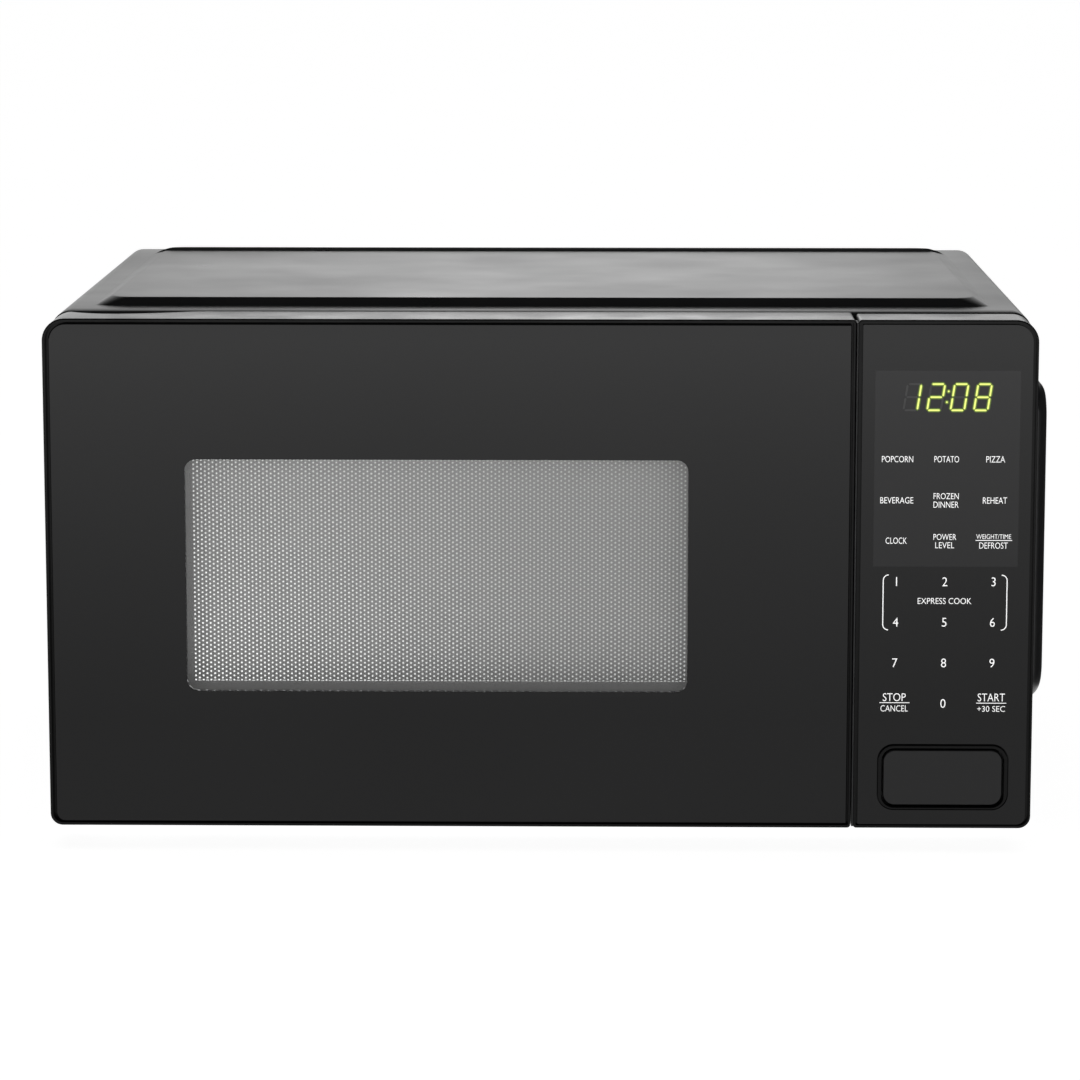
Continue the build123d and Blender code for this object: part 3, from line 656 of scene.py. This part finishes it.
def door_front():
    """Black printed glass with its clear window."""
    glass_frame("door_glass_print", glass_x, glass_y, glass_z, GLASS_RADII, WINDOW_X, WINDOW_Z,
                WINDOW_R, "door", MATERIALS["front_glass"], replaces=["door_glass"], slot="front_glass")
    inner = (WINDOW_R,) * 4
    loops = [(y, grown(WINDOW_X, WINDOW_Z, inner, 0.0)) for y in glass_y]
    lofted("door_window", loops, "door", see_through("window_glass", (0.86, 0.86, 0.86), 0.02),
           smooth=30, slot="front_glass")


def gap_lip():
    """The panel's side lip, which closes most of the gap beside the door. The rest is
    room for the door's back corner as it swings out."""
    _, panel_y, panel_z = local_box("control_panel_frame")
    panel_left = local_box("control_panel_glass")[0][0] - PANEL_BORDER
    gap = panel_left - local_box("door_frame")[0][1]
    span_x = (panel_left - 0.66 * gap, panel_left + 0.2)
    span_z = (panel_z[0] + 0.3, panel_z[1] - 1.5)
    radii = (0.3,) * 4
    depths = ((1.6, -0.2), (1.9, 0.0), (13.0, 0.0), (13.3, -0.2))
    loops = [(panel_y[0] + deep, grown(span_x, span_z, radii, out)) for deep, out in depths]
    lofted("panel_lip", loops, "cabinet", MATERIALS["inner_plastic"], smooth=30, slot="inner_plastic")


def perforated_screen():
    """The door's steel screen: a hexagonal field of holes in a formed pan."""
    box_x, box_y, box_z = local_box("door_screen")
    y = box_y[0] + 10.5  # the sheet stands behind its fixing tabs
    column = PITCH * math.sqrt(3) / 2
    verts, faces, index = [], [], {}

    def vert(x, z):
        key = (round(x, 3), round(z, 3))
        if key not in index:
            index[key] = len(verts)
            verts.append(at(x, y, z))
        return index[key]

    columns = int((HOLES_X[1] - HOLES_X[0]) / column)
    rows = int((HOLES_Z[1] - HOLES_Z[0]) / PITCH)
    cell_r = PITCH / math.sqrt(3)
    for c in range(columns + 1):
        for r in range(rows + 1 - c % 2):
            cx = HOLES_X[0] + c * column
            cz = HOLES_Z[0] + (r + 0.5 * (c % 2)) * PITCH
            ring = []
            for corner in range(6):
                angle = math.radians(60 * corner)
                ring.append((math.cos(angle), math.sin(angle)))
            outer = [vert(cx + cell_r * a, cz + cell_r * b) for a, b in ring]
            inner = [vert(cx + HOLE_R * a, cz + HOLE_R * b) for a, b in ring]
            for i in range(6):
                j = (i + 1) % 6
                faces.append((outer[i], outer[j], inner[j], inner[i]))
    piece("screen_field", verts, faces, "door", MATERIALS["screen_paint"], slot="screen_paint")

    # plain sheet round the field, and the pan's walls
    hole = (0.05,) * 4
    field_x = (HOLES_X[0] - 0.4, HOLES_X[0] + columns * column + 0.4)
    field_z = (HOLES_Z[0] - 0.4, HOLES_Z[0] + rows * PITCH + 0.4)
    pan_x, pan_z = box_x, box_z
    loops = [
        (y + 0.25, rounded(field_x, field_z, hole)),
        (y + 0.25, grown(pan_x, pan_z, (2.0,) * 4, -1.5)),
        (y + 1.5, grown(pan_x, pan_z, (2.0,) * 4, 0.0)),
        (box_y[1], grown(pan_x, pan_z, (2.0,) * 4, 0.0)),
        (box_y[1], grown(pan_x, pan_z, (2.0,) * 4, -1.0)),
        (y + 2.0, grown(pan_x, pan_z, (2.0,) * 4, -1.2)),
        (y + 1.1, grown(pan_x, pan_z, (2.0,) * 4, -2.2)),
        (y + 1.1, rounded(field_x, field_z, hole)),
    ]
    lofted("screen_pan", loops, "door", MATERIALS["screen_paint"], closed=True, smooth=30,
           replaces=["door_screen"], slot="screen_paint")


# ---- control panel ------------------------------------------------------------------
FACE_Y = 0.47  # print stands just proud of the glass, which starts at 0.5
WORDS = [  # text, x, z, width, height
    ("POPCORN", 158.2, 166.4, 13.8, 2.8),
    ("POTATO", 179.9, 166.4, 10.9, 2.8),
    ("PIZZA", 201.5, 166.4, 8.3, 2.8),
    ("BEVERAGE", 158.1, 148.0, 14.6, 2.8),
    ("FROZEN", 179.9, 149.9, 11.1, 2.7),
    ("DINNER", 179.9, 146.1, 11.1, 2.7),
    ("REHEAT", 201.5, 148.0, 10.7, 2.8),
    ("CLOCK", 158.1, 129.9, 9.4, 2.8),
    ("POWER", 179.6, 131.6, 10.1, 2.7),
    ("LEVEL", 179.6, 127.9, 8.4, 2.7),
    ("WEIGHT/TIME", 201.2, 131.8, 15.4, 2.1),
    ("DEFROST", 201.2, 127.8, 12.6, 2.8),
    ("EXPRESS COOK", 179.9, 102.8, 23.8, 2.7),
    ("STOP", 158.2, 59.2, 10.2, 3.6),
    ("CANCEL", 158.2, 54.1, 12.2, 2.8),
    ("START", 201.4, 59.2, 12.1, 3.6),
    ("+30 SEC", 201.4, 54.0, 12.4, 2.6),
]
DIGITS = [
    ("1", 158.5, 111.5), ("2", 179.9, 111.5), ("3", 201.5, 111.5),
    ("4", 158.3, 93.2), ("5", 179.9, 93.2), ("6", 201.3, 93.2),
    ("7", 158.2, 74.8), ("8", 179.9, 74.8), ("9", 201.4, 74.8),
    ("0", 179.9, 56.4),
]


def lettering(name, items, material):
    """Text laid out on the front, fitted to a width and height where they are given."""
    verts, faces = [], []
    for text, x, z, width, height in items:
        curve = bpy.data.curves.new("text", "FONT")
        curve.body = text
        curve.resolution_u = 4
        curve.offset = -0.006
        holder = bpy.data.objects.new("text", curve)
        bpy.context.scene.collection.objects.link(holder)
        bpy.context.view_layer.update()
        mesh = bpy.data.meshes.new_from_object(holder)
        low = [min(v.co[i] for v in mesh.vertices) for i in (0, 1)]
        high = [max(v.co[i] for v in mesh.vertices) for i in (0, 1)]
        scale_z = height / (high[1] - low[1])
        scale_x = width / (high[0] - low[0]) if width else scale_z * 0.92
        base = len(verts)
        for v in mesh.vertices:
            u = (v.co[0] - (low[0] + high[0]) / 2) * scale_x
            w = (v.co[1] - (low[1] + high[1]) / 2) * scale_z
            verts.append(at(x + u, FACE_Y, z + w))
        faces += [tuple(base + i for i in p.vertices) for p in mesh.polygons]
        bpy.data.objects.remove(holder)
        bpy.data.meshes.remove(mesh)
        bpy.data.curves.remove(curve)
    return piece(name, verts, faces, "cabinet", material)


def strip(points, width, y):
    """Vertices and faces of a flat line of a given width through (x, z) points."""
    verts, faces = [], []
    for i, (x, z) in enumerate(points):
        before, after = points[max(i - 1, 0)], points[min(i + 1, len(points) - 1)]
        dx, dz = after[0] - before[0], after[1] - before[1]
        length = math.hypot(dx, dz)
        nx, nz = -dz / length * width / 2, dx / length * width / 2
        verts += [at(x + nx, y, z + nz), at(x - nx, y, z - nz)]
    for i in range(len(points) - 1):
        faces.append((2 * i, 2 * i + 1, 2 * i + 3, 2 * i + 2))
    return verts, faces


def lines(name, paths, width, material):
    verts, faces = [], []
    for path in paths:
        some, quads = strip(path, width, FACE_Y)
        faces += [tuple(len(verts) + i for i in quad) for quad in quads]
        verts += some
    return piece(name, verts, faces, "cabinet", material)


def bracket(x, reach, z):
    """A tall bracket whose ends curve towards the keys."""
    r = abs(reach)
    sign = 1 if reach > 0 else -1
    points = []
    for step in range(7):
        angle = math.radians(90 + 90 * step / 6)
        points.append((x + sign * (r + r * math.cos(angle)), z[1] - r + r * math.sin(angle)))
    for step in range(7):
        angle = math.radians(180 + 90 * step / 6)
        points.append((x + sign * (r + r * math.cos(angle)), z[0] + r + r * math.sin(angle)))
    return points


def legends():
    # the legends carry a painted glow of 0.35, brighter than their lighting makes them
    ink = printed("legend_ink", 0.9, 0.35)
    lettering("legend_words", WORDS, ink)
    lettering("legend_digits", [(text, x, z, None, 4.0) for text, x, z in DIGITS], ink)
    paths = [bracket(152.6, 2.4, (89.7, 114.5)), bracket(207.5, -2.4, (89.7, 114.5))]
    lines("legend_brackets", paths, 0.42, ink)
    underlines = [
        ((151.6, 56.7), (165.0, 56.7)),
        ((194.7, 56.6), (208.1, 56.6)),
        ((193.2, 130.1), (209.4, 130.1)),
    ]
    lines("legend_underlines", underlines, 0.32, ink)


SEGMENTS = {  # which of the seven segments each figure lights
    "0": "abcdef", "1": "bc", "2": "abged", "8": "abcdefg",
}


def segment_path(kind, x, z, width, height, slant):
    """Ends of one segment of a figure centred on x, z."""
    top, middle, bottom = height / 2, 0.0, -height / 2
    left, right = -width / 2, width / 2
    ends = {
        "a": ((left, top), (right, top)),
        "g": ((left, middle), (right, middle)),
        "d": ((left, bottom), (right, bottom)),
        "b": ((right, top), (right, middle)), "c": ((right, middle), (right, bottom)),
        "f": ((left, top), (left, middle)), "e": ((left, middle), (left, bottom)),
    }[kind]
    return [(x + u + v * slant, z + v) for u, v in ends]


def segment_bar(start, end, width, trim):
    """A six-sided bar between two points, cut short at both ends."""
    dx, dz = end[0] - start[0], end[1] - start[1]
    length = math.hypot(dx, dz)
    ux, uz = dx / length, dz / length
    half = width / 2
    outline = []
    for along, across in ((trim, 0), (trim + half, half), (length - trim - half, half),
                          (length - trim, 0), (length - trim - half, -half), (trim + half, -half)):
        outline.append((start[0] + ux * along - uz * across, start[1] + uz * along + ux * across))
    return outline


def display():
    """Four slanted figures and a colon, lit, over their faint unlit segments."""
    width, height, slant, z = 6.0, 11.6, 0.15, 194.0
    places = ((164.4, "1"), (174.8, "2"), (185.1, "0"), (195.4, "8"))
    looks = (
        ("display_unlit", 0.49, 0.9, 0.3, printed("unlit_segment", 0.035), False),
        ("display_halo", 0.485, 1.8, -0.3, glowing("segment_halo", (0.20, 0.33, 0.03), 0.28), True),
        ("display_lit", 0.475, 0.8, 0.3, glowing("lit_segment", (0.80, 0.90, 0.20), 0.95), True),
    )
    for name, y, stroke, trim, material, lit_only in looks:
        verts, faces = [], []
        for x, figure in places:
            for kind in SEGMENTS[figure] if lit_only else "abcdefg":
                start, end = segment_path(kind, x, z, width, height, slant)
                faces.append(tuple(range(len(verts), len(verts) + 6)))
                verts += [at(u, y, v) for u, v in segment_bar(start, end, stroke, trim)]
        for dz in (-2.2, 2.6):
            if not lit_only:
                continue
            cx, cz, r = 179.9 + dz * slant, z + dz, stroke * 0.55
            faces.append(tuple(range(len(verts), len(verts) + 8)))
            verts += [
                at(cx + r * math.cos(math.pi * k / 4), y, cz + r * math.sin(math.pi * k / 4))
                for k in range(8)
            ]
        piece(name, verts, faces, "cabinet", material)


def panel_glass_material():
    """Black glass whose touch and display area is a shade lighter."""
    made = Finish("panel_glass", (0.004, 0.004, 0.0042), 0.02)
    made.rough_between(made.noise(9.0, 4.0), 0.012, 0.035)
    low, high = at(147.8, 0.0, 118.1), at(212.2, 0.0, 205.9)
    split = made.nodes.new("ShaderNodeSeparateXYZ")
    made.links.new(made.place, split.inputs["Vector"])
    edges = []
    for axis, lower, upper in (("X", low.x, high.x), ("Z", low.z, high.z)):
        away = made.nodes.new("ShaderNodeMath")
        away.operation = "SUBTRACT"
        away.inputs[1].default_value = (lower + upper) / 2
        made.links.new(split.outputs[axis], away.inputs[0])
        size = made.nodes.new("ShaderNodeMath")
        size.operation = "ABSOLUTE"
        made.links.new(away.outputs[0], size.inputs[0])
        edges.append(made.ramp(size.outputs[0], 1.0, 0.0, (upper - lower) / 2 - 0.0004, (upper - lower) / 2))
    both = made.nodes.new("ShaderNodeMath")
    both.operation = "MULTIPLY"
    made.links.new(edges[0], both.inputs[0])
    made.links.new(edges[1], both.inputs[1])
    mix = made.nodes.new("ShaderNodeMix")
    mix.data_type = "RGBA"
    mix.inputs["A"].default_value = (0.0035, 0.0035, 0.0037, 1.0)
    mix.inputs["B"].default_value = (0.014, 0.014, 0.0145, 1.0)
    made.links.new(both.outputs[0], mix.inputs["Factor"])
    made.links.new(mix.outputs["Result"], made.shader.inputs["Base Color"])
    return made.set(Specular_IOR_Level=0.22).material


# ---- springs ------------------------------------------------------------------------
def coil(name, node, axis, turns, fixed):
    """A compression spring in place of a CAD one. axis is
    the index of its length; fixed is the end, 0 low or 1 high, that would stay put; it is not used."""
    spans = local_box(node)
    others = [i for i in range(3) if i != axis]
    middle = [sum(span) / 2 for span in spans]
    wire = WIRES[node]
    radius = (spans[others[0]][1] - spans[others[0]][0]) / 2 - wire
    low, high = spans[axis][0] + wire, spans[axis][1] - wire
    verts, faces = [], []
    steps, sides = 28 * turns, 10
    for step in range(steps + 1):
        angle = 2 * math.pi * step * turns / steps
        # the first and last half turns lie flat, as ground ends do
        climb_share = min(max((step * turns / steps - 0.5) / (turns - 1.0), 0.0), 1.0)
        for side in range(sides):
            a = 2 * math.pi * side / sides
            reach = radius + wire * math.cos(a)
            point = [0.0, 0.0, 0.0]
            point[axis] = low + (high - low) * climb_share + wire * math.sin(a)
            point[others[0]] = middle[others[0]] + reach * math.cos(angle)
            point[others[1]] = middle[others[1]] + reach * math.sin(angle)
            verts.append(at(*point))
    for step in range(steps):
        for side in range(sides):
            a, b = step * sides, (step + 1) * sides
            faces.append((a + side, a + (side + 1) % sides, b + (side + 1) % sides, b + side))
    faces += [tuple(range(sides)), tuple(steps * sides + i for i in range(sides))]
    body = "cabinet" if node == "button_spring" else "door"
    spring = piece(name, verts, faces, body, MATERIALS["spring_steel"], replaces=[node],
                   smooth=60, slot="spring_steel")
    anchor = [sum(span) / 2 for span in spans]
    anchor[axis] = spans[axis][fixed]
    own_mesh(spring)


WIRES = {"button_spring": 0.45, "latch_spring": 0.4}  # wire radius


def springs():
    coil("button_coil", "button_spring", 1, 5, 1)
    coil("latch_coil", "latch_spring", 2, 6, 1)


# ---- carried-over CAD nodes ---------------------------------------------------------
def paint_nodes():
    slots = {entry["node"]: entry["material_slot"] for entry in frame["record"]["subparts"]}
    for name, obj in frame["nodes"].items():
        obj.data.materials.clear()
        obj.data.materials.append(MATERIALS[slots[name]])
    panel = frame["nodes"]["control_panel_glass"]
    panel.data.materials[0] = panel_glass_material()


# ---- stage --------------------------------------------------------------------------
def stage_floor():
    reach = 60.0
    mesh = bpy.data.meshes.new("floor")
    corners = [(-reach, -reach, 0), (reach, -reach, 0), (reach, reach, 0), (-reach, reach, 0)]
    mesh.from_pydata(corners, [], [(0, 1, 2, 3)])
    made = Finish("floor_paper", (0.36, 0.36, 0.36), 0.9)
    made.mixed_colour(made.noise(3.0), (0.34, 0.34, 0.34), 0.5)
    made.set(Specular_IOR_Level=0.0, Emission_Color=(1.0, 1.0, 1.0, 1.0))
    split = made.nodes.new("ShaderNodeSeparateXYZ")
    made.links.new(made.place, split.inputs["Vector"])
    # The floor glows, 0.92 beside the oven and up to 1.9 far in front: a painted shade near the oven, which
    # the black front glass mirrors.
    floor_glow_with_painted_shade = made.ramp(split.outputs["Y"], 1.9, 0.92, -2.2, -0.47)
    made.links.new(floor_glow_with_painted_shade, made.shader.inputs["Emission Strength"])
    mesh.materials.append(made.material)
    floor = bpy.data.objects.new("floor", mesh)
    bpy.context.scene.collection.objects.link(floor)


def side_flag():
    """A low black card to the right that keeps the floor's glare out of the side duct."""
    x, reach, top = 0.31, (-0.16, 1.4), 0.25
    corners = [(x, reach[0], 0.0), (x, reach[1], 0.0), (x, reach[1], top), (x, reach[0], top)]
    mesh = bpy.data.meshes.new("flag")
    mesh.from_pydata(corners, [], [(0, 1, 2, 3)])
    made = Finish("flag_card", (0.1, 0.1, 0.1), 1.0)
    made.mixed_colour(made.noise(20.0), (0.09, 0.09, 0.09), 0.5)
    made.set(Specular_IOR_Level=0.0)
    mesh.materials.append(made.material)
    flag = bpy.data.objects.new("flag", mesh)
    bpy.context.scene.collection.objects.link(flag)
    flag.visible_camera = flag.visible_shadow = flag.visible_diffuse = False


def studio_sky():
    """A bright sweep near the horizon behind the oven, brightest in the middle, dim overhead."""
    world = bpy.data.worlds.new("studio")
    bpy.context.scene.world = world
    world.use_nodes = True
    nodes, links = world.node_tree.nodes, world.node_tree.links
    background = nodes["Background"]
    place = nodes.new("ShaderNodeTexCoord").outputs["Generated"]
    split = nodes.new("ShaderNodeSeparateXYZ")
    links.new(place, split.inputs["Vector"])

    def mapped(source, start, end, low, high):
        node = nodes.new("ShaderNodeMapRange")
        node.interpolation_type = "SMOOTHSTEP"
        for name, value in (("From Min", start), ("From Max", end), ("To Min", low), ("To Max", high)):
            socket(node, name, value)
        links.new(source, node.inputs["Value"])
        return node.outputs["Result"]

    def joined(operation, a, b):
        node = nodes.new("ShaderNodeMath")
        node.operation = operation
        links.new(a, node.inputs[0])
        links.new(b, node.inputs[1])
        return node.outputs[0]

    height = mapped(split.outputs["Z"], 0.18, 0.60, 1.0, 0.02)
    behind = mapped(split.outputs["Y"], 0.45, 0.9, 0.04, 1.0)
    strength = nodes.new("ShaderNodeMath")
    strength.operation = "MULTIPLY"
    strength.inputs[1].default_value = 1.36
    shifted = nodes.new("ShaderNodeMath")
    shifted.inputs[1].default_value = 0.015
    links.new(split.outputs["X"], shifted.inputs[0])
    side = nodes.new("ShaderNodeMath")
    side.operation = "ABSOLUTE"
    links.new(shifted.outputs[0], side.inputs[0])
    middle = mapped(side.outputs[0], 0.0, 0.12, 1.12, 0.68)
    sweep = joined("MULTIPLY", joined("MULTIPLY", height, behind), middle)
    zenith = mapped(split.outputs["Z"], 0.91, 0.99, 0.0, 0.16)
    links.new(joined("ADD", sweep, zenith), strength.inputs[0])
    links.new(strength.outputs[0], background.inputs["Strength"])
    background.inputs["Color"].default_value = (1.0, 1.0, 1.0, 1.0)


def lamp(name, kind, location, target, energy, size):
    """A soft light that shows in no reflection."""
    data = bpy.data.lights.new(name, kind)
    data.energy = energy
    if kind == "SUN":
        data.angle = size
    else:
        data.shape = "RECTANGLE"
        data.size, data.size_y = size
    obj = bpy.data.objects.new(name, data)
    bpy.context.scene.collection.objects.link(obj)
    obj.location = location
    obj.rotation_euler = (Vector(target) - Vector(location)).to_track_quat("-Z", "Y").to_euler()
    obj.visible_glossy = False
    obj.visible_camera = False
    return obj


def lights():
    lamp("overhead", "SUN", (0.3, -0.6, 3.0), (0.0, 0.0, 0.0), 0.5, math.radians(70))
    lamp("front_fill", "AREA", (-0.2, -2.3, 0.8), (0.0, 0.0, 0.12), 15.0, (2.2, 1.2))
    cavity_x, cavity_y, cavity_z = local_box("oven_cavity")
    middle = at(cavity_x[0] + 90.0, sum(cavity_y) / 2, cavity_z[1] - 6.0)
    below = middle - Vector((0, 0, 0.1))
    lamp("oven_light", "AREA", middle, below, 0.31, (0.24, 0.20))


def camera():
    """The photograph's viewpoint, found by fitting the oven's corners."""
    data = bpy.data.cameras.new("camera")
    data.lens = 139.16
    data.sensor_width = 36.0
    data.clip_end = 200.0
    obj = bpy.data.objects.new("camera", data)
    bpy.context.scene.collection.objects.link(obj)
    obj.location = at(29.54, -1828.07, 427.0)
    obj.rotation_euler = (math.radians(90 - 9.231), 0.0, math.radians(0.919))
    bpy.context.scene.camera = obj


# ---- the oven -----------------------------------------------------------------------
paint_nodes()
steel_wrap()
door_front()
gap_lip()
perforated_screen()
legends()
display()
springs()
stage_floor()
side_flag()
studio_sky()
lights()
camera()
bpy.context.scene.view_settings.view_transform = "Standard"
